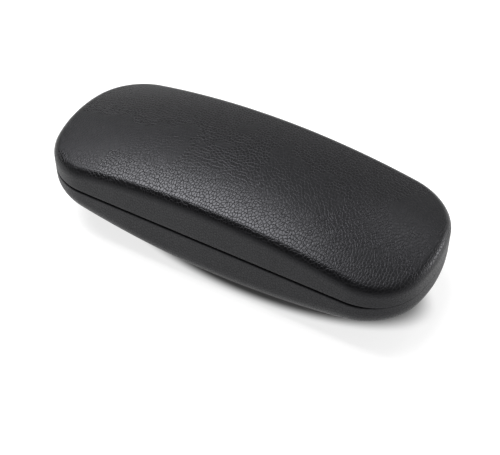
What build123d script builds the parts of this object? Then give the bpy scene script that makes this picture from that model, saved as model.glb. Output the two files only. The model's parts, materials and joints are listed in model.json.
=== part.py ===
from build123d import *
import os
from math import atan2, degrees, sqrt
from typing import NamedTuple

# A hard clamshell case for one pair of glasses: two pressed steel half shells, padded and covered
# outside with imitation leather, lined inside with flocked trays, joined by two spring hinges.
# Millimetres. X runs along the length, the front faces -Y, the hinge side faces +Y, Z is up.
# The origin is under the middle of the case, on the surface that it stands on.

# Plan outline: straight long sides, round ends, and corner arcs that blend the two.
LENGTH = 160.0
WIDTH = 61.6
END_RADIUS = 60.0
CORNER_RADIUS = 22.5
PARTING = 22.6  # height of the plane between base and lid
RIM_GAP = 0.3  # from the parting plane to each half's rim

# Layers, as depths inwards from the outer surface.
LEATHER = 0.8
PADDING = 1.6
STEEL = 2.1
TURN_IN = 2.8  # inner face of the leather that is folded in over the rim
LINING_OUTER = 3.4
LINING_INNER = 4.2
TURN_IN_HEIGHT = 8.0
LEAST_ROLL = 1.0

# Hinges: the axis runs along X at the back, level with the parting plane.
AXIS_Y = WIDTH / 2 - 2.5
BACK_CUT = 3.5  # how far both halves are cut back above and below the axis
SPINE_CLEARANCE = 0.1
HINGE_CENTRES = {"left": -30.0, "right": 30.0}
KNUCKLE_RADIUS = 1.4
PIN_RADIUS = 0.7
PIN_CLEARANCE = 0.05
PIN_HEAD_RADIUS = 1.05
PIN_HEAD = 0.4
PIN_HEAD_GAP = 0.1
LEAF_LENGTH = 30.0
LEAF_THICKNESS = 0.6
LEAF_START = 1.8  # from the axis to the leaf plate's near edge
LEAF_END = 7.8
LEAF_CORNER = 2.0
BASE_KNUCKLES = ((-15.0, -9.2), (9.2, 15.0))
LID_KNUCKLES = ((-8.9, -5.6), (5.6, 8.9))

# Torsion spring, close wound round the pin, with one leg on each leaf.
WIRE_RADIUS = 0.24
COIL_RADIUS = 1.02
COIL_PITCH = 0.46
COIL_TURNS = 21
LEG_RADIUS = 0.22
LEG_LENGTH = 6.5
LEG_TILT = 0.08

# Rivets through leaf and shell.
RIVET_SPREAD = 10.0  # from the hinge's middle, along X
RIVET_HEIGHT = 5.6  # from the axis
RIVET_RADIUS = 0.8
RIVET_HEAD_RADIUS = 1.5
RIVET_HEAD = 0.4
RIVET_WINDOW = 1.9

# Fabric flap that covers the hinges inside.
FLAP_LENGTH = 100.0
FLAP_HEIGHT = 13.0
FLAP_THICKNESS = 0.5
LINING_CUT = 96.0  # length of the gap in both linings behind the flap

END_CENTRE = LENGTH / 2 - END_RADIUS
CORNER_Y = WIDTH / 2 - CORNER_RADIUS
CORNER_X = END_CENTRE + sqrt((END_RADIUS - CORNER_RADIUS) ** 2 - CORNER_Y**2)
MEETING_ANGLE = degrees(atan2(CORNER_Y, CORNER_X - END_CENTRE))
DOME_SWEEP = 20.0  # degrees either side of the middle, past both ends of the case
MARGIN = 10.0
HINGE_AXIS = Axis((0, AXIS_Y, PARTING), (1, 0, 0))


class Half(NamedTuple):
    """One half of the case: which way it bulges, and the surface that closes it."""

    side: int  # +1 for the lid, -1 for the base
    crest: float  # height of the crown over the parting plane
    arch: float  # radius of the crown along the length
    crown: float  # radius of the crown across the width
    roll: float  # radius between the wall and the crown
    flat: float  # distance of a flat cut from the parting plane


LID = Half(side=1, crest=19.95, arch=295.0, crown=118.0, roll=4.5, flat=30.0)
BASE = Half(side=-1, crest=23.6, arch=263.0, crown=82.0, roll=9.0, flat=PARTING)


def make_outline(depth):
    """Return the plan outline, moved inwards by depth, as a sketch in the XY plane."""
    half_width = WIDTH / 2 - depth
    corner_turn = 90 - MEETING_ANGLE
    with BuildSketch() as outline:
        with BuildLine():
            Line((-CORNER_X, half_width), (CORNER_X, half_width))
            CenterArc((CORNER_X, CORNER_Y), CORNER_RADIUS - depth, MEETING_ANGLE, corner_turn)
            CenterArc((END_CENTRE, 0), END_RADIUS - depth, -MEETING_ANGLE, 2 * MEETING_ANGLE)
            CenterArc((CORNER_X, -CORNER_Y), CORNER_RADIUS - depth, -90, corner_turn)
            Line((CORNER_X, -half_width), (-CORNER_X, -half_width))
            CenterArc((-CORNER_X, -CORNER_Y), CORNER_RADIUS - depth, 180 + MEETING_ANGLE, corner_turn)
            CenterArc((-END_CENTRE, 0), END_RADIUS - depth, 180 - MEETING_ANGLE, 2 * MEETING_ANGLE)
            CenterArc((-CORNER_X, CORNER_Y), CORNER_RADIUS - depth, 90, corner_turn)
        make_face()
    return outline.sketch


def make_form(half, depth):
    """Return the solid inside one half's outer surface, moved inwards by depth.

    The half is made bulging upwards from the parting plane; the base is then mirrored in that plane.
    """
    crest = half.crest - depth
    arch_centre = PARTING + crest - (half.arch - depth)
    dome_axis = Axis((0, 0, arch_centre), (0, 1, 0))
    dome_plane = Plane(origin=(0, 0, arch_centre), x_dir=(0, 1, 0), z_dir=(1, 0, 0))
    dome_plane = dome_plane.rotated((0, -DOME_SWEEP, 0))
    rise = half.arch - depth - crest  # from the arch's centre to the parting plane
    outline = make_outline(depth)
    with BuildPart() as form:
        with BuildSketch(Plane.XY.offset(PARTING)):
            add(outline)
        extrude(amount=crest + MARGIN)
        with BuildSketch(dome_plane):
            with Locations((0, half.arch - half.crown)):
                Circle(half.crown - depth)
            with Locations((0, rise)):
                Rectangle(WIDTH + MARGIN, 2 * (crest + MARGIN), mode=Mode.INTERSECT)
        revolve(axis=dome_axis, revolution_arc=2 * DOME_SWEEP, mode=Mode.INTERSECT)
        crown = form.faces().sort_by(Axis.Z)[-1]
        fillet(crown.outer_wire().edges(), radius=max(half.roll - depth, LEAST_ROLL))
        if half.flat < half.crest:
            split(bisect_by=Plane.XY.offset(PARTING + half.flat - depth), keep=Keep.BOTTOM)
    if half.side < 0:
        return mirror(form.part, about=Plane.XY.offset(PARTING), mode=Mode.PRIVATE)
    return form.part


FORMS = {
    (half, depth): make_form(half, depth)
    for half in (LID, BASE)
    for depth in (0.0, LEATHER, PADDING, STEEL, TURN_IN, LINING_OUTER, LINING_INNER)
}


def make_layer(half, outer, inner, start, stop=LENGTH):
    """Return the shell between two depths, from start to stop away from the parting plane."""
    with BuildPart() as layer:
        add(FORMS[half, outer])
        add(FORMS[half, inner], mode=Mode.SUBTRACT)
        with BuildSketch(Plane.XY.offset(PARTING + half.side * start)):
            Rectangle(LENGTH + MARGIN, WIDTH + MARGIN)
        extrude(amount=half.side * (stop - start), mode=Mode.INTERSECT)
    return layer.part


def make_cutter(front, length=LENGTH + MARGIN):
    """Return the block that clears the hinge's turning space, from y = front backwards."""
    with BuildPart() as cutter:
        with BuildSketch(Plane.XY.offset(PARTING - BACK_CUT)):
            with Locations((0, front)):
                Rectangle(length, MARGIN, align=(Align.CENTER, Align.MIN))
        extrude(amount=2 * BACK_CUT)
    return cutter.part


def rivet_places(half):
    """Return the four (x, z) places of the rivets of one half."""
    height = PARTING + half.side * RIVET_HEIGHT
    return [
        (centre + shift, height)
        for centre in HINGE_CENTRES.values()
        for shift in (-RIVET_SPREAD, RIVET_SPREAD)
    ]


def make_bores(half, radius):
    """Return round bars of one radius on the rivets' axes, for cutting their holes."""
    with BuildPart() as bores:
        with BuildSketch(Plane.XZ.offset(-WIDTH / 2)):
            with Locations(*rivet_places(half)):
                Circle(radius)
        extrude(amount=LINING_OUTER)
    return bores.part


def make_cover(half):
    """Return the leather of one half: its outer skin, folded over the rim and glued inside."""
    fold_start = RIM_GAP + LEATHER
    skin = make_layer(half, 0.0, LEATHER, RIM_GAP)
    rim = make_layer(half, LEATHER, TURN_IN, RIM_GAP, fold_start)
    turned_in = make_layer(half, STEEL, TURN_IN, fold_start, TURN_IN_HEIGHT)
    cutter = make_cutter(AXIS_Y - RIM_GAP)
    with BuildPart() as cover:
        add(turned_in)
        with Locations((0, WIDTH / 2, PARTING)):
            Box(2 * CORNER_X + MARGIN, 2 * MARGIN, 2 * MARGIN, mode=Mode.SUBTRACT)
        add((skin, rim))
        add(cutter, mode=Mode.SUBTRACT)
    return cover.part


def make_shell(half):
    """Return the pressed steel shell of one half, with its rivet holes."""
    plain_shell = make_layer(half, PADDING, STEEL, RIM_GAP + LEATHER)
    cutters = (make_cutter(AXIS_Y - RIM_GAP), make_bores(half, RIVET_RADIUS))
    with BuildPart() as shell:
        add(plain_shell)
        add(cutters, mode=Mode.SUBTRACT)
    return shell.part


def make_padding(half):
    """Return the foam between leather and steel, with room for the rivets' outer heads."""
    plain_padding = make_layer(half, LEATHER, PADDING, RIM_GAP + LEATHER)
    cutters = (make_cutter(AXIS_Y - RIM_GAP), make_bores(half, RIVET_WINDOW))
    with BuildPart() as padding:
        add(plain_padding)
        add(cutters, mode=Mode.SUBTRACT)
    return padding.part


def make_lining(half):
    """Return the flocked tray of one half, with a rim that closes against the folded leather."""
    tray_start = RIM_GAP + LEATHER / 2
    tray = make_layer(half, LINING_OUTER, LINING_INNER, tray_start)
    rim = make_layer(half, TURN_IN, LINING_OUTER, tray_start, tray_start + LEATHER)
    hinge_cutter = make_cutter(WIDTH / 2 - LINING_INNER - RIM_GAP, LINING_CUT)
    back_cutter = make_cutter(AXIS_Y - RIM_GAP)
    with BuildPart() as lining:
        add((tray, rim))
        add((hinge_cutter, back_cutter), mode=Mode.SUBTRACT)
    return lining.part


def make_leaf(half, centre, knuckles):
    """Return one hinge leaf: a plate with rivet holes and the knuckles that it is rolled into."""
    plate_y = WIDTH / 2 - STEEL
    plate_middle = PARTING + half.side * (LEAF_START + LEAF_END) / 2
    bores = make_bores(half, RIVET_RADIUS)
    with BuildPart() as leaf:
        with BuildSketch(Plane.XZ.offset(-plate_y)):
            with Locations((centre, plate_middle)):
                RectangleRounded(LEAF_LENGTH, LEAF_END - LEAF_START, LEAF_CORNER)
        extrude(amount=LEAF_THICKNESS)
        for start, stop in knuckles:
            with BuildSketch(Plane.YZ.offset(centre + start)):
                with Locations((AXIS_Y, PARTING)):
                    Circle(KNUCKLE_RADIUS)
                with Locations((plate_y - LEAF_THICKNESS / 2, PARTING + half.side * LEAF_START)):
                    Rectangle(LEAF_THICKNESS, 2 * LEAF_START)
            extrude(amount=stop - start)
        with BuildSketch(Plane.YZ.offset(centre - LEAF_LENGTH)):
            with Locations((AXIS_Y, PARTING)):
                Circle(PIN_RADIUS + PIN_CLEARANCE)
        extrude(amount=2 * LEAF_LENGTH, mode=Mode.SUBTRACT)
        add(bores, mode=Mode.SUBTRACT)
    return leaf.part


def make_rivets(half):
    """Return the four rivets of one half, each with a flat outer head and a domed inner head."""
    outer_y = WIDTH / 2 - PADDING
    inner_y = WIDTH / 2 - STEEL - LEAF_THICKNESS
    with BuildPart() as rivets:
        with BuildSketch(Plane.XZ.offset(-outer_y - RIVET_HEAD)):
            with Locations(*rivet_places(half)):
                Circle(RIVET_HEAD_RADIUS)
        extrude(amount=RIVET_HEAD)
        with BuildSketch(Plane.XZ.offset(-outer_y)):
            with Locations(*rivet_places(half)):
                Circle(RIVET_RADIUS)
        extrude(amount=outer_y - inner_y)
        with BuildSketch(Plane.XZ.offset(-inner_y)):
            with Locations(*rivet_places(half)):
                Circle(RIVET_HEAD_RADIUS)
        extrude(amount=RIVET_HEAD)
        inner_rims = rivets.edges().filter_by(GeomType.CIRCLE).group_by(Axis.Y)[0]
        fillet(inner_rims, radius=RIVET_HEAD * 0.8)
    return rivets.part


def make_pin(centre):
    """Return one hinge pin with its two peened heads."""
    head_inner = LEAF_LENGTH / 2 + PIN_HEAD_GAP
    with BuildPart() as pin:
        with BuildSketch(Plane.YZ.offset(centre - head_inner)):
            with Locations((AXIS_Y, PARTING)):
                Circle(PIN_RADIUS)
        extrude(amount=2 * head_inner)
        for start in (centre - head_inner - PIN_HEAD, centre + head_inner):
            with BuildSketch(Plane.YZ.offset(start)):
                with Locations((AXIS_Y, PARTING)):
                    Circle(PIN_HEAD_RADIUS)
            extrude(amount=PIN_HEAD)
    return pin.part


def make_spring(centre):
    """Return one close-wound torsion spring: its turns and a straight leg against each leaf."""
    coil_end = COIL_PITCH * (COIL_TURNS - 1) / 2
    with BuildPart() as spring:
        with BuildSketch(Plane.XZ.offset(-AXIS_Y)):
            with Locations((centre, PARTING + COIL_RADIUS)):
                with GridLocations(COIL_PITCH, 0, COIL_TURNS, 1):
                    Circle(WIRE_RADIUS)
        revolve(axis=HINGE_AXIS)
        for side in (-1, 1):
            foot = (centre + side * coil_end, AXIS_Y - COIL_RADIUS, PARTING)
            with BuildSketch(Plane(origin=foot, z_dir=(0, LEG_TILT, side))):
                Circle(LEG_RADIUS)
            extrude(amount=LEG_LENGTH)
    return spring.part


def make_spine():
    """Return the strip of leather that bridges base and lid outside the hinges."""
    reach = BACK_CUT - SPINE_CLEARANCE
    outer_outline = make_outline(0.0)
    inner_outline = make_outline(LEATHER)
    with BuildPart() as spine:
        with BuildSketch(Plane.XY.offset(PARTING - reach)):
            add(outer_outline)
            add(inner_outline, mode=Mode.SUBTRACT)
            with Locations((0, AXIS_Y - RIM_GAP + SPINE_CLEARANCE)):
                Rectangle(LENGTH, MARGIN, align=(Align.CENTER, Align.MIN), mode=Mode.INTERSECT)
        extrude(amount=2 * reach)
    return spine.part


def make_flap():
    """Return the fabric flap that covers the hinges inside, glued to both linings."""
    with BuildPart() as flap:
        with BuildSketch(Plane.XZ.offset(-(WIDTH / 2 - LINING_INNER))):
            with Locations((0, PARTING)):
                Rectangle(FLAP_LENGTH, FLAP_HEIGHT)
        extrude(amount=FLAP_THICKNESS)
    return flap.part


def write_part(name, solid):
    """Label one sub-part and write it to its own file."""
    with BuildPart() as piece:
        add(solid)
    piece.part.label = name
    export_step(piece.part, f"parts/{name}.step")


def main():
    """Make and write every sub-part of the case."""
    os.makedirs("parts", exist_ok=True)
    for half_name, half, knuckles in (("base", BASE, BASE_KNUCKLES), ("lid", LID, LID_KNUCKLES)):
        write_part(f"{half_name}_leather", make_cover(half))
        write_part(f"{half_name}_padding", make_padding(half))
        write_part(f"{half_name}_shell", make_shell(half))
        write_part(f"{half_name}_lining", make_lining(half))
        write_part(f"{half_name}_rivets", make_rivets(half))
        for place, centre in HINGE_CENTRES.items():
            write_part(f"{half_name}_hinge_leaf_{place}", make_leaf(half, centre, knuckles))
    for place, centre in HINGE_CENTRES.items():
        write_part(f"hinge_pin_{place}", make_pin(centre))
        write_part(f"torsion_spring_{place}", make_spring(centre))
    write_part("spine_leather", make_spine())
    write_part("hinge_flap", make_flap())


main()
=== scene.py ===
"""Visual model of a hard clamshell glasses case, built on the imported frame.

The case has two padded steel half shells covered outside with grained imitation leather and lined
inside with flocked trays. Two spring hinges join them at the back, hidden between an outer spine of
the same leather and an inner fabric flap. Lengths are in metres.
"""

import json
import logging
from dataclasses import dataclass, field
from enum import Enum
from math import atan2, cos, pi, radians, sin, sqrt
from typing import Callable, Sequence

import bmesh
import bpy
import numpy as np
from bpy.types import Material, Mesh, Node, NodeSocket, NodeTree, Object
from mathutils import Matrix, Vector


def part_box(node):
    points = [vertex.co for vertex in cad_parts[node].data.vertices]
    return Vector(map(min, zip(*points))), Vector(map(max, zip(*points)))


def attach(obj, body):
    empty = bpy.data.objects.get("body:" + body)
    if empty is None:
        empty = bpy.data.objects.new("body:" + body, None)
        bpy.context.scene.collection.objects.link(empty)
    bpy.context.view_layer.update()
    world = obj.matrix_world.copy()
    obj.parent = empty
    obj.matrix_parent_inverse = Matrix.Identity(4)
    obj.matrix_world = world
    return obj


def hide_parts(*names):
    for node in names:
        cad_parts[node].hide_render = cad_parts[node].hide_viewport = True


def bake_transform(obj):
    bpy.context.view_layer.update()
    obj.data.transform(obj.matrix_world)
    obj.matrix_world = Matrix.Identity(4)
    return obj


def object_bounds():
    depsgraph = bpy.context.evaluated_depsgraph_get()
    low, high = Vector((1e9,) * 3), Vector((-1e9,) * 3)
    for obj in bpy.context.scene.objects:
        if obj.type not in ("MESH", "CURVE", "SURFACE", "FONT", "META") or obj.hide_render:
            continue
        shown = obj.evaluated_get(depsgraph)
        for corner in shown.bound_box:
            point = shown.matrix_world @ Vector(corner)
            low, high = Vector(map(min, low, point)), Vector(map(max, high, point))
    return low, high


log = logging.getLogger("glasses_case")
MM = 0.001

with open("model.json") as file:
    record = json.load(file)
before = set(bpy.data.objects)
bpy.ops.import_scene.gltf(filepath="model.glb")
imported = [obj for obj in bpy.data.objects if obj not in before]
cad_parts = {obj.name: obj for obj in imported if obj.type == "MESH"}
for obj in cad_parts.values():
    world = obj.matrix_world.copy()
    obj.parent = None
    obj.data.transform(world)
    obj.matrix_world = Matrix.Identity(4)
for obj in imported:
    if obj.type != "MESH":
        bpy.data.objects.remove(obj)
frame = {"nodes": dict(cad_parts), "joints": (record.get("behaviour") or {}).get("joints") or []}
cad_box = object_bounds()

HINGE = frame["joints"][0]
AXIS_Y, PARTING = HINGE["pos_m"][1], HINGE["pos_m"][2]

Point = tuple[float, float]
Profile = list[Point]
Colour = tuple[float, float, float]


class Body(str, Enum):
    """The two rigid bodies of the case."""

    BASE = "base"
    LID = "lid"


class Slot(str, Enum):
    """The record's material slots; the cover pieces name theirs, but no step reads them."""

    LEATHER = "leather"
    FOAM = "foam"
    FLOCK = "flock"
    HINGE_STEEL = "hinge_steel"


# --------------------------------------------------------------------------- helpers


def link_piece(mesh: Mesh) -> Object:
    """Link a mesh to the scene as an object of its name, at the origin.

    Args:
        mesh: The mesh.

    Returns:
        The new object.
    """
    piece = bpy.data.objects.new(mesh.name, mesh)
    bpy.context.scene.collection.objects.link(piece)
    return piece


def plain_mesh(
    name: str,
    points: Sequence[Sequence[float]],
    edges: Sequence[Sequence[int]] = (),
    faces: Sequence[Sequence[int]] = (),
) -> Mesh:
    """Make a mesh.

    Args:
        name: Its name.
        points: Its points, in metres.
        edges: Pairs of point numbers, for a wire.
        faces: Point numbers round each face.

    Returns:
        The mesh.
    """
    mesh = bpy.data.meshes.new(name)
    mesh.from_pydata(points, edges, faces)
    return mesh


# --------------------------------------------------------------------------- form


@dataclass(frozen=True)
class Layers:
    """Depths of the case's layers inwards from its outer surface.

    Attributes:
        leather: Inner face of the leather skin.
        padding: Inner face of the foam.
        steel: Inner face of the steel shell.
        turn_in: Inner face of the leather that is folded in over the rim.
        lining_outer: Outer face of the flocked tray.
        lining_inner: Inner face of the flocked tray.
    """

    leather: float = 0.8 * MM
    padding: float = 1.6 * MM
    steel: float = 2.1 * MM
    turn_in: float = 2.8 * MM
    lining_outer: float = 3.4 * MM
    lining_inner: float = 4.2 * MM


LAYERS = Layers()
LEATHER_SEEDS = {Body.BASE: 11.0, Body.LID: 3.0}


@dataclass(frozen=True)
class Outline:
    """Plan outline of the case: straight sides, corner arcs and round ends.

    Attributes:
        length: Overall length along X.
        width: Overall width along Y.
        end_radius: Radius of the two ends.
        corner_radius: Radius of the four corners.
    """

    length: float
    width: float
    end_radius: float = 60 * MM
    corner_radius: float = 22.5 * MM

    def walk(self, count: int, extra: Sequence[float] = ()) -> tuple[np.ndarray, np.ndarray]:
        """Return points round the outline and their outward normals.

        Args:
            count: Number of evenly spaced points, starting at the middle of the front.
            extra: X values, left and right, at which front and back get points of their own.

        Returns:
            Two arrays of shape (points, 2).
        """
        end_centre = self.length / 2 - self.end_radius
        corner_y = self.width / 2 - self.corner_radius
        span = self.end_radius - self.corner_radius
        corner_x = end_centre + sqrt(span**2 - corner_y**2)
        meeting = atan2(corner_y, corner_x - end_centre)
        straight = corner_x
        corner = self.corner_radius * (pi / 2 - meeting)
        end = self.end_radius * meeting
        quarter = straight + corner + end
        places = list(np.arange(count) * 4 * quarter / count)
        for x in extra:
            turn = np.arcsin((x - corner_x) / self.corner_radius) if x > corner_x else 0.0
            along = min(x, corner_x) + self.corner_radius * turn
            places += [along, 2 * quarter - along, 2 * quarter + along, 4 * quarter - along]
        points, normals = [], []
        for place in sorted(places):
            number, rest = divmod(place, quarter)
            mirrored = int(number) % 2
            rest = quarter - rest if mirrored else rest
            if rest <= straight:
                point, normal = (rest, -self.width / 2), (0.0, -1.0)
            elif rest <= straight + corner:
                angle = -pi / 2 + (rest - straight) / self.corner_radius
                normal = (cos(angle), sin(angle))
                point = (
                    corner_x + self.corner_radius * normal[0],
                    -corner_y + self.corner_radius * normal[1],
                )
            else:
                angle = -(quarter - rest) / self.end_radius
                normal = (cos(angle), sin(angle))
                point = (end_centre + self.end_radius * normal[0], self.end_radius * normal[1])
            facing_x = 1 if int(number) in (0, 1) else -1
            facing_y = 1 if int(number) in (0, 3) else -1
            points.append((point[0] * facing_x, point[1] * facing_y))
            normals.append((normal[0] * facing_x, normal[1] * facing_y))
        return np.array(points), np.array(normals)


@dataclass(frozen=True)
class HalfForm:
    """Outer form of one half: vertical walls, a rolled edge and a crown curved both ways.

    Attributes:
        side: +1 for the lid, -1 for the base.
        crest: Height of the crown over the parting plane.
        arch: Radius of the crown along the length.
        crown: Radius of the crown across the width.
        roll: Radius between the wall and the crown.
        flat: Distance from the parting plane of the flat that the half rests on.
        least_roll: Smallest roll radius on the inner layers.
        flat_edge: Softness of the edge between the crown and the flat.
    """

    side: int
    crest: float
    arch: float
    crown: float
    roll: float
    flat: float
    least_roll: float = 1.0 * MM
    flat_edge: float = 0.12 * MM

    def dome(self, xy: np.ndarray, depth: float) -> np.ndarray:
        """Return the crown's height over the parting plane, before the flat is cut.

        Args:
            xy: Plan points.
            depth: How far the crown is moved in.

        Returns:
            A height for each point.
        """
        arch, crown, crest = self.arch - depth, self.crown - depth, self.crest - depth
        reach = arch - crown + np.sqrt(crown**2 - xy[..., 1] ** 2)
        return crest - arch + np.sqrt(reach**2 - xy[..., 0] ** 2)

    def height(self, xy: np.ndarray, depth: float) -> np.ndarray:
        """Return dome's height with the flat cut, its edge softened."""
        flat, soft = self.flat - depth, self.flat_edge
        return flat - soft * np.logaddexp(0, (flat - self.dome(xy, depth)) / soft)

    def normal(self, xy: np.ndarray, depth: float) -> np.ndarray:
        """Return the crown's unit normals, before the flat is cut.

        Args:
            xy: Plan points.
            depth: How far the crown is moved in.

        Returns:
            A normal for each point.
        """
        arch, crown = self.arch - depth, self.crown - depth
        across = np.sqrt(crown**2 - xy[..., 1] ** 2)
        reach = arch - crown + across
        rise = np.sqrt(reach**2 - xy[..., 0] ** 2)
        along_x, along_y = xy[..., 0] / rise, xy[..., 1] / across * reach / rise
        slope = np.stack([along_x, along_y, np.ones_like(rise)], -1)
        return slope / np.linalg.norm(slope, axis=-1, keepdims=True)

    def shoulder(self, foot: np.ndarray, out: np.ndarray, depth: float) -> tuple[np.ndarray, float]:
        """Return the centres of the roll round the outline, and its radius.

        Args:
            foot: Outline points at depth zero.
            out: Their outward normals.
            depth: Depth of the layer's surface.

        Returns:
            Centres as an array of (x, y, height), and the radius.
        """
        radius = max(self.roll - depth, self.least_roll)
        centre = foot - out * (depth + radius)
        height = self.dome(centre, depth) - radius / self.normal(centre, depth)[:, 2]
        return np.column_stack([centre, height]), radius


@dataclass
class Rim:
    """A profile round a half's opening, as (depth, height) pairs from the outer to the inner face.

    Attributes:
        front: Profile along the front, where the two halves stand a little apart.
        shut: Profile round the ends, where they close tight, with as many points.
        back: Profile where the rim is cut back for the hinges, with as many points.
        back_half_length: X at which the cut starts, on the back side.
        step: Length over which it starts.
        right_start: X at which the front's gap starts to close towards the right end.
        right_stop: X at which it is closed.
        left_stop: Y at which it is closed on the left end.
    """

    front: Profile
    shut: Profile
    back: Profile
    back_half_length: float
    step: float = 0.1 * MM
    right_start: float = 60 * MM
    right_stop: float = 71 * MM
    left_stop: float = 4 * MM

    def at(self, foot: np.ndarray) -> np.ndarray:
        """Return the profile at each outline point.

        Args:
            foot: Outline points at depth zero.

        Returns:
            An array of (points, profile, 2).
        """
        x, y = foot[:, 0], foot[:, 1]
        cut = np.clip((self.back_half_length - np.abs(x)) / self.step + 0.5, 0, 1)
        cut = np.where(y > 0, cut, 0.0)[:, None, None]
        right = np.clip((x - self.right_start) / (self.right_stop - self.right_start), 0, 1)
        left = np.clip((y + self.left_stop) / (2 * self.left_stop), 0, 1)
        tight = np.maximum(right, left)
        tight = (tight * tight * (3 - 2 * tight))[:, None, None]
        whole = np.array(self.front)[None] * (1 - tight) + np.array(self.shut)[None] * tight
        return whole * (1 - cut) + np.array(self.back)[None] * cut


def between(start: Point, stop: Point, share: float) -> Point:
    """Return the point at a share of the way between two points."""
    return (start[0] + (stop[0] - start[0]) * share, start[1] + (stop[1] - start[1]) * share)


def spread_profile(points: Profile, gap: float) -> Profile:
    """Return a profile with its long stretches divided.

    Args:
        points: Corner points of the profile.
        gap: Longest distance between neighbours.

    Returns:
        The denser profile.
    """
    dense = [points[0]]
    for start, stop in zip(points, points[1:]):
        steps = max(1, int(np.ceil(np.hypot(stop[0] - start[0], stop[1] - start[1]) / gap)))
        dense += [between(start, stop, k / steps) for k in range(1, steps + 1)]
    return dense


def round_corner(corner: Point, start: float, radius: float, steps: int = 5) -> Profile:
    """Return a quarter turn of a profile, inwards from the outer face, about a centre.

    Args:
        corner: Centre of the turn as (depth, height).
        start: Angle at which the turn starts, in radians, 0 pointing to the outer face.
        radius: Radius of the turn.
        steps: Number of stretches.

    Returns:
        Profile points.
    """
    angles = start + np.linspace(0, pi / 2, steps + 1)
    return [(corner[0] - radius * cos(a), corner[1] - radius * sin(a)) for a in angles]


def even_profile(start: Point, stop: Point, count: int) -> Profile:
    """Return a straight profile of count points between two points."""
    return [between(start, stop, share) for share in np.linspace(0, 1, count)]


@dataclass
class LayerMesh:
    """Builds one closed layer of a half between two depths, with its rim.

    Attributes:
        form: The half's outer form.
        outline: The plan outline.
        outer: Depth of the outer face.
        inner: Depth of the inner face.
        rim: The profile that joins the faces at the opening.
        columns: Number of points round the outline.
        roll_steps: Stretches over the rolled edge.
        crown_steps: Rings from the rolled edge to the middle.
        wall_steps: Stretches down the wall.
    """

    form: HalfForm
    outline: Outline
    outer: float
    inner: float
    rim: Rim
    columns: int = 300
    roll_steps: int = 8
    crown_steps: int = 30
    wall_steps: int = 8

    def face_rows(
        self, foot: np.ndarray, out: np.ndarray, depth: float, rim_height: np.ndarray
    ) -> list[np.ndarray]:
        """Return rows of points from the middle of the crown down to the rim, on one face.

        Args:
            foot: Outline points at depth zero.
            out: Their outward normals.
            depth: The face's depth.
            rim_height: Height at which the rim profile starts, for each outline point.

        Returns:
            Arrays of (points, 3), as x, y and height over the parting plane.
        """
        centre, radius = self.form.shoulder(foot, out, depth)
        wall_way = np.column_stack([out, np.zeros(len(out))])
        crown_way = self.form.normal(centre[:, :2], depth)
        touch = centre + radius * crown_way
        middle = (self.outline.length - self.outline.width) / 2
        ridge = np.column_stack([np.clip(touch[:, 0], -middle, middle), np.zeros(len(touch))])
        rows = []
        for share in np.linspace(0, 1, self.crown_steps, endpoint=False):
            plan = ridge * (1 - share) + touch[:, :2] * share
            rows.append(np.column_stack([plan, self.form.height(plan, depth)]))
        angle = np.arccos(np.clip((wall_way * crown_way).sum(1), -1, 1))[:, None]
        for share in np.linspace(1, 0, self.roll_steps + 1):
            way = np.sin((1 - share) * angle) * wall_way + np.sin(share * angle) * crown_way
            rows.append(centre + radius * (way / np.sin(angle)))
        for share in np.arange(1, self.wall_steps) / self.wall_steps:
            row = rows[self.crown_steps + self.roll_steps].copy()
            row[:, 2] = row[:, 2] * (1 - share) + rim_height * share
            rows.append(row)
        return rows

    def build(self, name: str, extra: Sequence[float] = ()) -> Object:
        """Make the layer's mesh, with the attributes wall and laid on its points.

        wall is 0 on the crown and 1 on the walls. laid is where each point lies when the sheet is
        laid flat: the crown in plan, and the walls folded outwards round it.

        Args:
            name: The piece's name.
            extra: X values, left and right, that get points of their own.

        Returns:
            The new object.
        """
        edge = self.rim.back_half_length
        extra = [*extra, edge - self.rim.step / 2, edge + self.rim.step / 2]
        foot, out = self.outline.walk(self.columns, extra)
        profile = self.rim.at(foot)
        rows = self.face_rows(foot, out, self.outer, profile[:, 0, 1])
        steps = np.arange(len(rows)) - self.crown_steps
        wall = list(np.clip(2 * steps / self.roll_steps - 1, 0.0, 1.0))
        for number in range(profile.shape[1]):
            plan = foot - out * profile[:, number, :1]
            rows.append(np.column_stack([plan, profile[:, number, 1]]))
            wall.append(1.0)
        inner_rows = self.face_rows(foot, out, self.inner, profile[:, -1, 1])
        rows += inner_rows[::-1]
        wall += [1.0] * len(inner_rows)
        points = np.concatenate(rows)
        points[:, 2] = PARTING + self.form.side * points[:, 2]
        count = len(foot)
        faces = []
        for row in range(len(rows) - 1):
            here, there = row * count, (row + 1) * count
            for k in range(count):
                ahead = (k + 1) % count
                quad = (here + k, there + k, there + ahead, here + ahead)
                faces.append(quad if self.form.side > 0 else quad[::-1])
        mesh = plain_mesh(name, points.tolist(), faces=faces)
        store_cover(mesh, np.repeat(wall, count), self.laid_flat(rows, out))
        return finish_mesh(mesh)

    def laid_flat(self, rows: list[np.ndarray], out: np.ndarray) -> np.ndarray:
        """Return each point's place on the flattened sheet, row after row.

        Args:
            rows: The rows of points, from the middle of the outer face on.
            out: The outline's outward normals.

        Returns:
            An array of (points, 3) in the plane.
        """
        laid, travel = [], np.zeros((len(out), 1))
        touch = rows[self.crown_steps][:, :2]
        for number, row in enumerate(rows):
            if number <= self.crown_steps:
                laid.append(row * (1.0, 1.0, 0.0))
                continue
            travel = travel + np.linalg.norm(row - rows[number - 1], axis=1, keepdims=True)
            laid.append(np.column_stack([touch + out * travel, np.zeros(len(out))]))
        return np.concatenate(laid)


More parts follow.
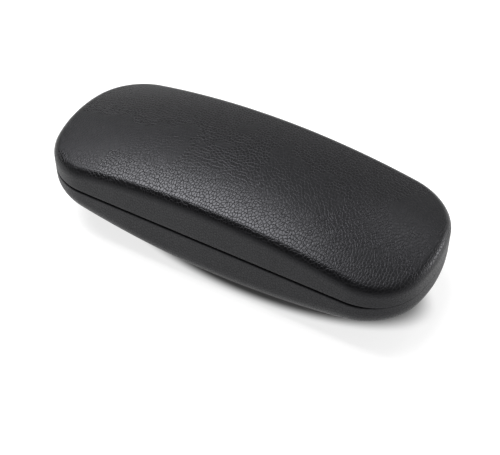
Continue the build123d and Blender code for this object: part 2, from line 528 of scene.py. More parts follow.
def store_cover(mesh: Mesh, wall: np.ndarray, laid: np.ndarray) -> None:
    """Store the attributes that the leather's grain reads on a mesh's points.

    Args:
        mesh: The mesh.
        wall: 0 on the crown to 1 on the walls, for each point.
        laid: Where each point lies on the flat sheet.
    """
    walls = mesh.attributes.new("wall", "FLOAT", "POINT")
    walls.data.foreach_set("value", wall)
    flat = mesh.attributes.new("laid", "FLOAT_VECTOR", "POINT")
    flat.data.foreach_set("vector", laid.ravel())


def finish_mesh(mesh: Mesh, crease: float = 40.0) -> Object:
    """Close a mesh, shade it smooth with sharp creases and link it.

    Args:
        mesh: The mesh to finish.
        crease: Angle in degrees past which an edge stays sharp.

    Returns:
        The new object, at the origin.
    """
    same_place, no_length = 1e-7, 1e-8
    work = bmesh.new()
    work.from_mesh(mesh)
    bmesh.ops.remove_doubles(work, verts=work.verts, dist=same_place)
    bmesh.ops.dissolve_degenerate(work, dist=no_length, edges=work.edges)
    bmesh.ops.recalc_face_normals(work, faces=work.faces)
    for face in work.faces:
        face.smooth = True
    for line in work.edges:
        line.smooth = len(line.link_faces) == 2 and line.calc_face_angle(0) < radians(crease)
    work.to_mesh(mesh)
    work.free()
    return link_piece(mesh)


# --------------------------------------------------------------------------- node helpers


def add_node(tree: NodeTree, kind: str, **settings: object) -> Node:
    """Add a node, setting its properties, or its inputs where a key starts with in_.

    Args:
        tree: The node tree.
        kind: The node's type name.
        **settings: Properties, and input values as in_0, in_Scale and so on.

    Returns:
        The node.
    """
    node = tree.nodes.new(kind)
    for key, value in settings.items():
        if key.startswith("in_"):
            name = key[3:].replace("_", " ")
            node.inputs[int(name) if name.isdigit() else name].default_value = value
        else:
            setattr(node, key, value)
    return node


def math_node(tree: NodeTree, operation: str, *values: object) -> NodeSocket:
    """Add a Math node.

    Args:
        tree: The node tree.
        operation: The operation's name.
        *values: Sockets to link or numbers to set, in order.

    Returns:
        Its output.
    """
    node = add_node(tree, "ShaderNodeMath", operation=operation)
    for socket, value in zip(node.inputs, values):
        if isinstance(value, NodeSocket):
            tree.links.new(value, socket)
        else:
            socket.default_value = value
    return node.outputs[0]


def ramp_node(
    tree: NodeTree,
    value: NodeSocket,
    low: float,
    high: float,
    start: float = 0.0,
    stop: float = 1.0,
) -> NodeSocket:
    """Add a smooth Map Range.

    Args:
        tree: The node tree.
        value: The socket to map.
        low: Value that gives start.
        high: Value that gives stop.
        start: Result at low.
        stop: Result at high.

    Returns:
        Its output.
    """
    node = add_node(tree, "ShaderNodeMapRange", interpolation_type="SMOOTHSTEP")
    for socket, limit in zip(node.inputs[1:], (low, high, start, stop)):
        socket.default_value = limit
    tree.links.new(value, node.inputs[0])
    return node.outputs[0]


def cell_node(
    tree: NodeTree,
    place: NodeSocket,
    scale: NodeSocket,
    feature: str,
    randomness: float = 0.9,
) -> NodeSocket:
    """Add a flat Voronoi texture and return its Distance.

    Args:
        tree: The node tree.
        place: Where the pattern is read.
        scale: Cells per metre.
        feature: F1 or DISTANCE_TO_EDGE.
        randomness: Irregularity of the cells.

    Returns:
        The Distance socket.
    """
    cells = add_node(tree, "ShaderNodeTexVoronoi", voronoi_dimensions="2D", feature=feature)
    cells.inputs["Randomness"].default_value = randomness
    tree.links.new(place, cells.inputs["Vector"])
    tree.links.new(scale, cells.inputs["Scale"])
    return cells.outputs["Distance"]


def add_relief(
    tree: NodeTree, shader: Node, height: NodeSocket, depth: float, strength: float = 1.0
) -> None:
    """Give a shader a bump.

    Args:
        tree: The material's tree.
        shader: The shader.
        height: Socket of the height.
        depth: Depth for a height of one, in metres.
        strength: Share of it that shows.
    """
    relief = add_node(tree, "ShaderNodeBump", in_Strength=strength, in_Distance=depth)
    tree.links.new(height, relief.inputs["Height"])
    tree.links.new(relief.outputs[0], shader.inputs["Normal"])


def new_group(
    name: str, inputs: dict[str, tuple[str, float]], outputs: dict[str, str]
) -> tuple[NodeTree, Node, Node]:
    """Make an empty shader node group.

    Args:
        name: The group's name.
        inputs: Input names with their socket type and default.
        outputs: Output names with their socket type.

    Returns:
        The tree and its input and output nodes.
    """
    tree = bpy.data.node_groups.new(name, "ShaderNodeTree")
    for label, (kind, default) in inputs.items():
        socket = tree.interface.new_socket(label, in_out="INPUT", socket_type=kind)
        if kind == "NodeSocketFloat":
            socket.default_value = default
    for label, kind in outputs.items():
        tree.interface.new_socket(label, in_out="OUTPUT", socket_type=kind)
    return tree, tree.nodes.new("NodeGroupInput"), tree.nodes.new("NodeGroupOutput")


def pebble_grain_group() -> NodeTree:
    """Return the shared group that makes embossed pebble grain.

    Returns:
        A group with Vector, Cell Size, Stretch and Fade inputs, and Height and Crease outputs.
    """
    tree, given, made = new_group(
        "Pebble grain",
        {
            "Vector": ("NodeSocketVector", 0.0),
            "Cell Size": ("NodeSocketFloat", 1.3 * MM),
            "Stretch": ("NodeSocketFloat", 1.2),
            "Fade": ("NodeSocketFloat", 0.0),
        },
        {"Height": "NodeSocketFloat", "Crease": "NodeSocketFloat"},
    )
    link = tree.links.new
    wander, small_cells, small_depth, dome_depth = 0.0007, 2.3, 0.12, -0.5
    drift = add_node(tree, "ShaderNodeTexNoise", in_Scale=90.0, in_Detail=1.0)
    link(given.outputs["Vector"], drift.inputs["Vector"])
    wobble = add_node(tree, "ShaderNodeVectorMath", operation="MULTIPLY_ADD", in_1=(wander,) * 3)
    link(drift.outputs["Color"], wobble.inputs[0])
    link(given.outputs["Vector"], wobble.inputs[2])
    squeeze = add_node(tree, "ShaderNodeCombineXYZ", in_2=1.0)
    link(given.outputs["Stretch"], squeeze.inputs[0])
    link(math_node(tree, "DIVIDE", 1.0, given.outputs["Stretch"]), squeeze.inputs[1])
    stretched = add_node(tree, "ShaderNodeVectorMath", operation="MULTIPLY")
    link(wobble.outputs[0], stretched.inputs[0])
    link(squeeze.outputs[0], stretched.inputs[1])
    scale = math_node(tree, "DIVIDE", 1.0, given.outputs["Cell Size"])
    place = stretched.outputs[0]
    edges = cell_node(tree, place, scale, "DISTANCE_TO_EDGE")
    domes = cell_node(tree, place, scale, "F1")
    small_scale = math_node(tree, "MULTIPLY", scale, small_cells)
    small = cell_node(tree, place, small_scale, "DISTANCE_TO_EDGE", 1.0)
    patches = add_node(tree, "ShaderNodeTexNoise", in_Scale=420.0, in_Detail=2.0)
    link(given.outputs["Vector"], patches.inputs["Vector"])
    crease = ramp_node(tree, edges, 0.0, 0.16, 1.0, 0.0)
    depth = ramp_node(tree, patches.outputs[0], 0.36, 0.6, 0.75, 1.0)
    broken = math_node(tree, "MULTIPLY", crease, depth)
    fine = math_node(tree, "MULTIPLY", ramp_node(tree, small, 0.0, 0.2, 1.0, 0.0), small_depth)
    dome = math_node(tree, "MULTIPLY", math_node(tree, "POWER", domes, 2.0), dome_depth)
    height = math_node(tree, "SUBTRACT", math_node(tree, "SUBTRACT", dome, broken), fine)
    kept = math_node(tree, "SUBTRACT", 1.0, given.outputs["Fade"])
    link(math_node(tree, "MULTIPLY", height, kept), made.inputs["Height"])
    link(math_node(tree, "MULTIPLY", broken, kept), made.inputs["Crease"])
    return tree


def surface_variation_group() -> NodeTree:
    """Return the shared group for the slow variation and fine dust of a used surface.

    Returns:
        A group with Vector and Size inputs, and Patches, Dust and Fine outputs.
    """
    tree, given, made = new_group(
        "Surface variation",
        {"Vector": ("NodeSocketVector", 0.0), "Size": ("NodeSocketFloat", 20 * MM)},
        {"Patches": "NodeSocketFloat", "Dust": "NodeSocketFloat", "Fine": "NodeSocketFloat"},
    )
    link = tree.links.new
    scale = math_node(tree, "DIVIDE", 1.0, given.outputs["Size"])
    slow = add_node(tree, "ShaderNodeTexNoise", in_Detail=3.0)
    fine = add_node(tree, "ShaderNodeTexNoise", in_Detail=2.0)
    link(scale, slow.inputs["Scale"])
    link(math_node(tree, "MULTIPLY", scale, 60.0), fine.inputs["Scale"])
    for noise in (slow, fine):
        link(given.outputs["Vector"], noise.inputs["Vector"])
    link(slow.outputs[0], made.inputs["Patches"])
    link(fine.outputs[0], made.inputs["Fine"])
    link(ramp_node(tree, fine.outputs[0], 0.66, 0.78), made.inputs["Dust"])
    return tree


# --------------------------------------------------------------------------- finishes


@dataclass(frozen=True)
class Groups:
    """The node groups that the finishes share.

    Attributes:
        grain: Pebble grain.
        variation: Slow patches and fine unevenness.
    """

    grain: NodeTree
    variation: NodeTree


def start_material(
    name: str,
) -> tuple[Material, NodeTree, Node, NodeSocket]:
    """Make a material with one Principled shader and Object coordinates.

    Args:
        name: The material's name.

    Returns:
        The material, its tree, the shader and the coordinate socket.
    """
    material = bpy.data.materials.new(name)
    material.use_nodes = True
    tree = material.node_tree
    shader = tree.nodes["Principled BSDF"]
    place = add_node(tree, "ShaderNodeTexCoord").outputs["Object"]
    return material, tree, shader, place


def add_group(
    tree: NodeTree,
    group: NodeTree,
    place: NodeSocket,
    **values: float,
) -> Node:
    """Place a shared group in a material.

    Args:
        tree: The material's tree.
        group: The group.
        place: Socket of the coordinates that it reads.
        **values: Values of its inputs, with _ for a space in a name.

    Returns:
        The group's node.
    """
    node = add_node(tree, "ShaderNodeGroup", node_tree=group)
    tree.links.new(place, node.inputs["Vector"])
    for label, value in values.items():
        node.inputs[label.replace("_", " ")].default_value = value
    return node


def mix_colours(
    tree: NodeTree,
    factor: NodeSocket,
    low: Sequence[float],
    high: Sequence[float],
) -> NodeSocket:
    """Mix two colours.

    Args:
        tree: The material's tree.
        factor: Socket that goes from the first colour to the second.
        low: The first colour.
        high: The second colour.

    Returns:
        Socket of the mixed colour.
    """
    node = add_node(tree, "ShaderNodeMix", data_type="RGBA")
    tree.links.new(factor, node.inputs["Factor"])
    node.inputs["A"].default_value = (*low, 1.0)
    node.inputs["B"].default_value = (*high, 1.0)
    return node.outputs["Result"]


@dataclass(frozen=True)
class LeatherFinish:
    """Black imitation leather with an embossed pebble grain.

    Attributes:
        name: The material's name.
        cell: Size of a pebble.
        stretch: How far the pebbles are narrowed along X and drawn out along Y.
        relief: Depth of the grain.
        wall_fade: How much fainter the grain is on the walls.
        patch_size: Size of the slow patches.
        dark: Colour of the crown and the creases; on the walls the darker creases are painted
            shade.
        pale: Colour of the palest patches on the walls, a painted reflection.
        smooth: Roughness of the smoothest patches.
        dull: Roughness of the dullest patches.
        crease_dulling: Roughness that the creases add.
        wall_dulling: Roughness that the walls add.
        specular: Level of the specular reflection.
        tint: Its colour.
    """

    name: str
    cell: float = 1.3 * MM
    stretch: float = 1.2
    relief: float = 0.055 * MM
    wall_fade: float = 0.35
    patch_size: float = 36 * MM
    dark: Colour = (0.0016, 0.0016, 0.0018)
    pale: Colour = (0.0092, 0.0092, 0.0098)
    smooth: float = 0.26
    dull: float = 0.29
    crease_dulling: float = 0.3
    wall_dulling: float = 0.16
    specular: float = 0.24
    tint: Colour = (0.93, 0.93, 1.0)

    def make(self, groups: Groups) -> Material:
        """Build the material.

        Args:
            groups: The shared node groups.

        Returns:
            The material.
        """
        material, tree, shader, place = start_material(self.name)
        link = tree.links.new
        laid = add_node(tree, "ShaderNodeAttribute", attribute_name="laid").outputs["Vector"]
        grain = add_group(tree, groups.grain, laid, Cell_Size=self.cell, Stretch=self.stretch)
        variation = add_group(tree, groups.variation, place, Size=self.patch_size)
        wall = add_node(tree, "ShaderNodeAttribute", attribute_name="wall").outputs["Fac"]
        link(math_node(tree, "MULTIPLY", wall, self.wall_fade), grain.inputs["Fade"])
        crease, fine = grain.outputs["Crease"], variation.outputs["Fine"]
        # Painted light in the base colour: lighter patches on the walls are a painted reflection,
        # and the creases there are darkened back as painted shade.
        painted_reflection_and_shade = math_node(tree, "MULTIPLY", ramp_node(tree, fine, 0.4, 0.62), wall)
        painted_reflection_and_shade = math_node(tree, "SUBTRACT", painted_reflection_and_shade, math_node(tree, "MULTIPLY", crease, 0.5))
        link(mix_colours(tree, painted_reflection_and_shade, self.dark, self.pale), shader.inputs["Base Color"])
        rough = ramp_node(tree, variation.outputs["Patches"], 0.3, 0.7, self.smooth, self.dull)
        rough = math_node(tree, "MULTIPLY_ADD", crease, self.crease_dulling, rough)
        rough = math_node(tree, "MULTIPLY_ADD", wall, self.wall_dulling, rough)
        link(rough, shader.inputs["Roughness"])
        shader.inputs["Specular IOR Level"].default_value = self.specular
        shader.inputs["Specular Tint"].default_value = (*self.tint, 1)
        soft = math_node(tree, "MULTIPLY", fine, math_node(tree, "MULTIPLY_ADD", wall, 0.7, 0.6))
        height = math_node(tree, "ADD", grain.outputs["Height"], soft)
        add_relief(tree, shader, height, self.relief)
        return material


@dataclass(frozen=True)
class FlockFinish:
    """Short dense flock with a soft sheen and brushed patches.

    Attributes:
        name: The material's name.
        colour: Colour of the flock.
        brushed: Colour of brushed patches and fibre tips.
        patch_size: Size of the brushed patches.
        pile: Depth of the pile.
    """

    name: str
    colour: Colour = (0.018, 0.018, 0.02)
    brushed: Colour = (0.034, 0.034, 0.037)
    patch_size: float = 16 * MM
    pile: float = 0.12 * MM

    def make(self, groups: Groups) -> Material:
        """Build the material.

        Args:
            groups: The shared node groups.

        Returns:
            The material.
        """
        material, tree, shader, place = start_material(self.name)
        link = tree.links.new
        variation = add_group(tree, groups.variation, place, Size=self.patch_size)
        fibres = add_node(tree, "ShaderNodeTexNoise", in_Scale=3200.0, in_Detail=2.0)
        link(place, fibres.inputs["Vector"])
        patches = ramp_node(tree, variation.outputs["Patches"], 0.42, 0.6)
        patches = math_node(tree, "MULTIPLY", patches, 0.6)
        speckle = math_node(tree, "MULTIPLY_ADD", fibres.outputs[0], 0.5, patches)
        link(mix_colours(tree, speckle, self.colour, self.brushed), shader.inputs["Base Color"])
        shader.inputs["Roughness"].default_value = 0.95
        shader.inputs["Sheen Weight"].default_value = 0.35
        shader.inputs["Sheen Roughness"].default_value = 0.4
        shader.inputs["Specular IOR Level"].default_value = 0.15
        height = math_node(tree, "ADD", fibres.outputs[0], variation.outputs["Fine"])
        add_relief(tree, shader, height, self.pile, 0.8)
        return material


@dataclass(frozen=True)
class FoamFinish:
    """Off-white open-cell foam.

    Attributes:
        name: The material's name.
        colour: Colour of the fresh foam.
        pale: Colour of the palest patches.
        patch_size: Size of the patches.
        pores: Pores per metre.
        relief: Depth of the pores.
    """

    name: str
    colour: Colour = (0.7, 0.68, 0.6)
    pale: Colour = (0.82, 0.8, 0.74)
    patch_size: float = 18 * MM
    pores: float = 1800.0
    relief: float = 0.1 * MM

    def make(self, groups: Groups) -> Material:
        """Build the material.

        Args:
            groups: The shared node groups.

        Returns:
            The material.
        """
        material, tree, shader, place = start_material(self.name)
        link = tree.links.new
        variation = add_group(tree, groups.variation, place, Size=self.patch_size)
        pores = add_node(tree, "ShaderNodeTexVoronoi", feature="F1", in_Scale=self.pores)
        link(place, pores.inputs["Vector"])
        colour = mix_colours(tree, variation.outputs["Patches"], self.colour, self.pale)
        link(colour, shader.inputs["Base Color"])
        shader.inputs["Roughness"].default_value = 0.9
        add_relief(tree, shader, pores.outputs["Distance"], self.relief, 0.7)
        return material


@dataclass(frozen=True)
class SteelFinish:
    """Rolled or drawn steel with fine lines along X.

    Attributes:
        name: The material's name.
        colour: Colour of the clean metal.
        worn: Colour of dull patches.
        roughness: Roughness of the clean metal.
        line_scale: Density of the lines across their run.
        line_run: Density along their run, as a share of that.
        patch_size: Size of the dull patches.
        relief: Depth of the lines.
    """

    name: str
    colour: Colour
    worn: Colour
    roughness: float
    line_scale: float = 5000.0
    line_run: float = 0.03
    patch_size: float = 9 * MM
    relief: float = 0.02 * MM

    def make(self, groups: Groups) -> Material:
        """Build the material.

        Args:
            groups: The shared node groups.

        Returns:
            The material.
        """
        material, tree, shader, place = start_material(self.name)
        link = tree.links.new
        variation = add_group(tree, groups.variation, place, Size=self.patch_size)
        along = add_node(tree, "ShaderNodeMapping", in_Scale=(self.line_run, 1.0, 1.0))
        link(place, along.inputs["Vector"])
        lines = add_node(tree, "ShaderNodeTexNoise", in_Scale=self.line_scale, in_Detail=2.0)
        link(along.outputs[0], lines.inputs["Vector"])
        patches = ramp_node(tree, variation.outputs["Patches"], 0.4, 0.65)
        link(mix_colours(tree, patches, self.colour, self.worn), shader.inputs["Base Color"])
        shader.inputs["Metallic"].default_value = 1.0
        rough = math_node(tree, "MULTIPLY_ADD", lines.outputs[0], 0.18, self.roughness)
        link(math_node(tree, "MULTIPLY_ADD", patches, 0.12, rough), shader.inputs["Roughness"])
        add_relief(tree, shader, lines.outputs[0], self.relief, 0.3)
        return material


@dataclass
class Finishes:
    """Every material of the case, made once.

    Attributes:
        cover: Leather of both halves.
        spine: Leather of the strip over the hinges.
        flock: Flock of both trays.
        flap: Fabric of the flap inside.
        foam: Foam under the leather.
        shell: Steel of the shells.
        hinge: Steel of the leaves and rivets.
        spring: Steel of the springs and pins.
    """

    cover: Material
    spine: Material
    flock: Material
    flap: Material
    foam: Material
    shell: Material
    hinge: Material
    spring: Material

    @classmethod
    def make_all(cls) -> "Finishes":
        """Build the shared groups and all materials.

        Returns:
            The materials.
        """
        groups = Groups(pebble_grain_group(), surface_variation_group())
        flap = FlockFinish("Hinge flap fabric", (0.014, 0.014, 0.016), (0.026, 0.026, 0.028))
        shell = SteelFinish("Pressed shell steel", (0.36, 0.37, 0.39), (0.28, 0.28, 0.3), 0.35)
        hinge = SteelFinish("Hinge steel", (0.62, 0.62, 0.6), (0.5, 0.48, 0.44), 0.25)
        spring = SteelFinish("Spring wire", (0.5, 0.5, 0.5), (0.36, 0.34, 0.32), 0.22)
        return cls(
            cover=LeatherFinish("Grained leather cover").make(groups),
            spine=LeatherFinish("Leather spine", stretch=1.0).make(groups),
            flock=FlockFinish("Black flock lining").make(groups),
            flap=flap.make(groups),
            foam=FoamFinish("Cover foam").make(groups),
            shell=shell.make(groups),
            hinge=hinge.make(groups),
            spring=spring.make(groups),
        )


# --------------------------------------------------------------------------- geometry nodes


def new_geometry_tree(
    name: str, inputs: dict[str, tuple[str, object]]
) -> tuple[NodeTree, Node, Node]:
    """Make a geometry node tree with named inputs, a Material input among them.

    Args:
        name: The tree's name.
        inputs: Other input names with their socket type and default, or None for no default.

    Returns:
        The tree and its input and output nodes.
    """
    tree = bpy.data.node_groups.new(name, "GeometryNodeTree")
    tree.interface.new_socket("Geometry", in_out="INPUT", socket_type="NodeSocketGeometry")
    tree.interface.new_socket("Geometry", in_out="OUTPUT", socket_type="NodeSocketGeometry")
    for label, (kind, default) in {**inputs, "Material": ("NodeSocketMaterial", None)}.items():
        socket = tree.interface.new_socket(label, in_out="INPUT", socket_type=kind)
        if default is not None:
            socket.default_value = default
    return tree, tree.nodes.new("NodeGroupInput"), tree.nodes.new("NodeGroupOutput")


def apply_geometry_tree(
    piece: Object, tree: NodeTree, values: dict[str, object]
) -> None:
    """Run a geometry node tree on a piece and keep the result as its plain mesh.

    Args:
        piece: The piece.
        tree: The geometry node tree.
        values: Values for the tree's named inputs.
    """
    modifier = piece.modifiers.new(tree.name, "NODES")
    modifier.node_group = tree
    for item in tree.interface.items_tree:
        if item.in_out == "INPUT" and item.name in values:
            modifier[item.identifier] = values[item.name]
    seen = bpy.context.evaluated_depsgraph_get()
    made = bpy.data.meshes.new_from_object(
        piece.evaluated_get(seen), preserve_all_data_layers=True, depsgraph=seen
    )
    piece.modifiers.remove(modifier)
    old, name = piece.data, piece.data.name
    piece.data = made
    bpy.data.meshes.remove(old)
    made.name = name


def hand_laid_tree() -> NodeTree:
    """Return the tree that gives stretched leather its slight unevenness, always inwards.

    Returns:
        A tree with Amount, Size, Seed and Material inputs.
    """
    highest, wall_share = 0.75, -0.7
    tree, given, made = new_geometry_tree(
        "Hand laid leather",
        {
            "Amount": ("NodeSocketFloat", 0.08 * MM),
            "Size": ("NodeSocketFloat", 14 * MM),
            "Seed": ("NodeSocketFloat", 7.0),
        },
    )
    link = tree.links.new
    noise = add_node(tree, "ShaderNodeTexNoise", noise_dimensions="4D", in_Detail=2.0)
    link(add_node(tree, "GeometryNodeInputPosition").outputs[0], noise.inputs["Vector"])
    link(given.outputs["Seed"], noise.inputs["W"])
    link(math_node(tree, "DIVIDE", 1.0, given.outputs["Size"]), noise.inputs["Scale"])
    lift = math_node(tree, "SUBTRACT", noise.outputs[0], highest)
    lift = math_node(tree, "MULTIPLY", lift, given.outputs["Amount"])
    wall = add_node(tree, "GeometryNodeInputNamedAttribute", data_type="FLOAT", in_Name="wall")
    wall_lift = math_node(tree, "MULTIPLY_ADD", wall.outputs["Attribute"], wall_share, 1.0)
    lift = math_node(tree, "MULTIPLY", lift, wall_lift)
    way = add_node(tree, "ShaderNodeVectorMath", operation="SCALE")
    link(add_node(tree, "GeometryNodeInputNormal").outputs[0], way.inputs[0])
    link(lift, way.inputs["Scale"])
    move = add_node(tree, "GeometryNodeSetPosition")
    link(given.outputs["Geometry"], move.inputs["Geometry"])
    link(way.outputs[0], move.inputs["Offset"])
    finish_geometry_tree(tree, move.outputs[0], given, made)
    return tree


def finish_geometry_tree(tree: NodeTree, result: NodeSocket, given: Node, made: Node) -> None:
    """End a geometry tree in Realize Instances and Set Material.

    Args:
        tree: The tree.
        result: Socket of the finished geometry.
        given: The tree's input node.
        made: The tree's output node.
    """
    real = add_node(tree, "GeometryNodeRealizeInstances")
    dress = add_node(tree, "GeometryNodeSetMaterial")
    tree.links.new(result, real.inputs[0])
    tree.links.new(real.outputs[0], dress.inputs["Geometry"])
    tree.links.new(given.outputs["Material"], dress.inputs["Material"])
    tree.links.new(dress.outputs[0], made.inputs[0])


def rivet_tree() -> NodeTree:
    """Return the tree that sets one rivet at each point of a mesh.

    Returns:
        A tree with Rivet, the object to repeat, and Material inputs.
    """
    tree, given, made = new_geometry_tree("Rivet row", {"Rivet": ("NodeSocketObject", None)})
    link = tree.links.new
    source = add_node(tree, "GeometryNodeObjectInfo")
    link(given.outputs["Rivet"], source.inputs["Object"])
    place = add_node(tree, "GeometryNodeInstanceOnPoints")
    link(given.outputs["Geometry"], place.inputs["Points"])
    link(source.outputs["Geometry"], place.inputs["Instance"])
    finish_geometry_tree(tree, place.outputs[0], given, made)
    return tree


def spring_tree() -> NodeTree:
    """Return the tree that thickens a wire's path.

    Returns:
        A tree with Wire Radius and Material inputs.
    """
    tree, given, made = new_geometry_tree(
        "Spring wire", {"Wire Radius": ("NodeSocketFloat", 0.22 * MM)}
    )
    link = tree.links.new
    line = add_node(tree, "GeometryNodeMeshToCurve")
    link(given.outputs["Geometry"], line.inputs[0])
    section = add_node(tree, "GeometryNodeCurvePrimitiveCircle", in_Resolution=8)
    link(given.outputs["Wire Radius"], section.inputs["Radius"])
    wire = add_node(tree, "GeometryNodeCurveToMesh", in_Fill_Caps=True)
    link(line.outputs[0], wire.inputs["Curve"])
    link(section.outputs[0], wire.inputs["Profile Curve"])
    smooth = add_node(tree, "GeometryNodeSetShadeSmooth")
    link(wire.outputs[0], smooth.inputs["Geometry"])
    finish_geometry_tree(tree, smooth.outputs[0], given, made)
    return tree


# --------------------------------------------------------------------------- sub-assemblies


@dataclass
class CoverHalf:
    """Leather, padding, steel and lining of one half of the case.

    Attributes:
        body: The body that the half rides on.
        form: The half's outer form.
        outline: The plan outline.
        rim_gap: From the parting plane to the rim.
        edge_radius: Roundness of the leather where it folds over the rim.
        tight_gap: From the parting plane to the rim round the ends.
        tight_radius: Roundness of the fold round the ends.
        turn_in_height: How far the folded leather reaches inside.
        back_cut: How far the rim is cut back at the hinges.
        back_half_length: X at which the cut ends.
        lining_cut_half_length: X at which the lining's cut ends.
        lining_edge_radius: Roundness of the tray's rim.
        lining_gap: Longest stretch of the tray's rim profile.
        unevenness: How far the leather's surface wanders.
        uneven_size: Size of its waves.
    """

    body: Body
    form: HalfForm
    outline: Outline
    rim_gap: float = 0.3 * MM
    edge_radius: float = 0.6 * MM
    tight_gap: float = 0.03 * MM
    tight_radius: float = 0.12 * MM
    turn_in_height: float = 8 * MM
    back_cut: float = 3.5 * MM
    back_half_length: float = 67.2 * MM
    lining_cut_half_length: float = 48 * MM
    lining_edge_radius: float = 0.3 * MM
    lining_gap: float = 0.6 * MM
    unevenness: float = 0.09 * MM
    uneven_size: float = 13 * MM

    def folded_edge(self, gap: float, edge: float, spread: int = 3) -> Profile:
        """Return the profile of the leather folded over the rim.

        Args:
            gap: Distance of the fold from the parting plane.
            edge: Roundness of the fold.
            spread: Number of stretches along each hidden straight.

        Returns:
            Profile points from the outer face to the leather's hidden face.
        """
        inner, hidden, thick = LAYERS.turn_in, LAYERS.steel, LAYERS.leather
        under, soft, top = self.rim_gap + thick, self.edge_radius / 2, self.turn_in_height
        return [
            *round_corner((edge, gap + edge), 0.0, edge),
            *round_corner((inner - edge, gap + edge), pi / 2, edge),
            *even_profile((inner, gap + 2 * edge), (inner, top - soft), spread),
            *even_profile((inner - soft, top), (hidden, top), 2),
            *even_profile((hidden, top - soft), (hidden, under), spread),
            *even_profile((hidden - soft, under), (thick, under), spread),
        ]

    def leather_rim(self) -> Rim:
        """Return the leather's rim.

        Returns:
            A rim, open at the front, tight round the ends and cut at the back.
        """
        front = self.folded_edge(self.rim_gap, self.edge_radius)
        shut = self.folded_edge(self.tight_gap, self.tight_radius)
        thick = LAYERS.leather
        back = even_profile((0.0, self.back_cut), (thick, self.back_cut), len(front))
        return Rim(front, shut, back, self.back_half_length)

    def plain_rim(self, outer: float, inner: float) -> Rim:
        """Return the profile of a layer that simply ends above the folded leather.

        Args:
            outer: Depth of the layer's outer face.
            inner: Depth of its inner face.

        Returns:
            Its rim.
        """
        height = self.rim_gap + LAYERS.leather
        front = even_profile((outer, height), (inner, height), 3)
        back = even_profile((outer, self.back_cut), (inner, self.back_cut), 3)
        return Rim(front, front, back, self.back_half_length)

    def lining_rim(self) -> Rim:
        """Return the tray's rim.

        Returns:
            A rim that turns outwards to the folded leather, and is cut at the back.
        """
        start, thick = self.rim_gap + LAYERS.leather / 2, LAYERS.leather
        soft = self.lining_edge_radius
        inner, outer, reach = LAYERS.lining_inner, LAYERS.lining_outer, LAYERS.turn_in
        path = [
            (outer, start + thick),
            (reach, start + thick),
            *round_corner((reach + soft, start + soft), 0.0, soft, 3),
            *round_corner((inner - soft, start + soft), pi / 2, soft, 3),
        ]
        front = spread_profile(path, self.lining_gap)
        back = even_profile((outer, self.back_cut), (inner, self.back_cut), len(front))
        return Rim(front, front, back, self.lining_cut_half_length)

    def build(self, finishes: Finishes, trees: "Trees") -> None:
        """Make the half's pieces and put them on its body.

        Args:
            finishes: The materials.
            trees: The geometry node trees.
        """
        name = self.body.value
        self.build_leather(name, finishes, trees)
        self.build_padding(name, finishes)
        self.build_lining(name, finishes)
        dress_node(f"{name}_shell", finishes.shell)
        for place in ("left", "right"):
            dress_node(f"{name}_hinge_leaf_{place}", finishes.hinge)

    def layer(self, outer: float, inner: float, rim: Rim, steps: tuple[int, int, int]) -> LayerMesh:
        """Return a layer between two depths, its steps being columns, roll and crown."""
        return LayerMesh(self.form, self.outline, outer, inner, rim, *steps)

    def build_leather(self, name: str, finishes: Finishes, trees: "Trees") -> None:
        """Make the leather skin, folded in over the rim.

        Args:
            name: The half's name.
            finishes: The materials.
            trees: The geometry node trees.
        """
        leather = self.layer(0.0, LAYERS.leather, self.leather_rim(), (320, 10, 34))
        skin = leather.build(f"{name}_grained_leather", [self.lining_cut_half_length])
        values = {
            "Amount": self.unevenness,
            "Size": self.uneven_size,
            "Seed": LEATHER_SEEDS[self.body],
            "Material": finishes.cover,
        }
        apply_geometry_tree(skin, trees.hand_laid, values)
        self.place(skin, f"{name}_leather", Slot.LEATHER)

    def build_padding(self, name: str, finishes: Finishes) -> None:
        """Make the foam between the leather and the shell.

        Args:
            name: The half's name.
            finishes: The materials.
        """
        rim = self.plain_rim(LAYERS.leather, LAYERS.padding)
        padding = self.layer(LAYERS.leather, LAYERS.padding, rim, (200, 6, 20))
        pad = padding.build(f"{name}_foam_padding")
        pad.data.materials.append(finishes.foam)
        self.place(pad, f"{name}_padding", Slot.FOAM)

    def build_lining(self, name: str, finishes: Finishes) -> None:
        """Make the flocked tray inside.

        Args:
            name: The half's name.
            finishes: The materials.
        """
        rim = self.lining_rim()
        tray = self.layer(LAYERS.lining_outer, LAYERS.lining_inner, rim, (240, 8, 24))
        lining = tray.build(f"{name}_flocked_tray", [self.back_half_length])
        lining.data.materials.append(finishes.flock)
        self.place(lining, f"{name}_lining", Slot.FLOCK)

    def place(self, piece: Object, node: str, slot: Slot) -> None:
        """Let a piece ride on the half's body.

        Args:
            piece: The piece.
            node: The CAD node that it stands for.
            slot: The material slot; not used.
        """
        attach(piece, self.body.value)
        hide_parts(node)
        log.info("%s: %d faces on %s", piece.name, len(piece.data.polygons), self.body.value)


def dress_node(node: str, material: Material) -> None:
    """Give a CAD node that keeps its shape a material.

    Args:
        node: The node's name.
        material: The material.
    """
    mesh = frame["nodes"][node].data
    mesh.materials.clear()
    mesh.materials.append(material)


@dataclass
class Trees:
    """The geometry node trees, made once.

    Attributes:
        hand_laid: Unevenness of the stretched leather.
        rivets: A rivet at each point.
        spring: A wire along a path.
    """

    hand_laid: NodeTree
    rivets: NodeTree
    spring: NodeTree

    @classmethod
    def make_all(cls) -> "Trees":
        """Build every tree."""
        return cls(hand_laid_tree(), rivet_tree(), spring_tree())


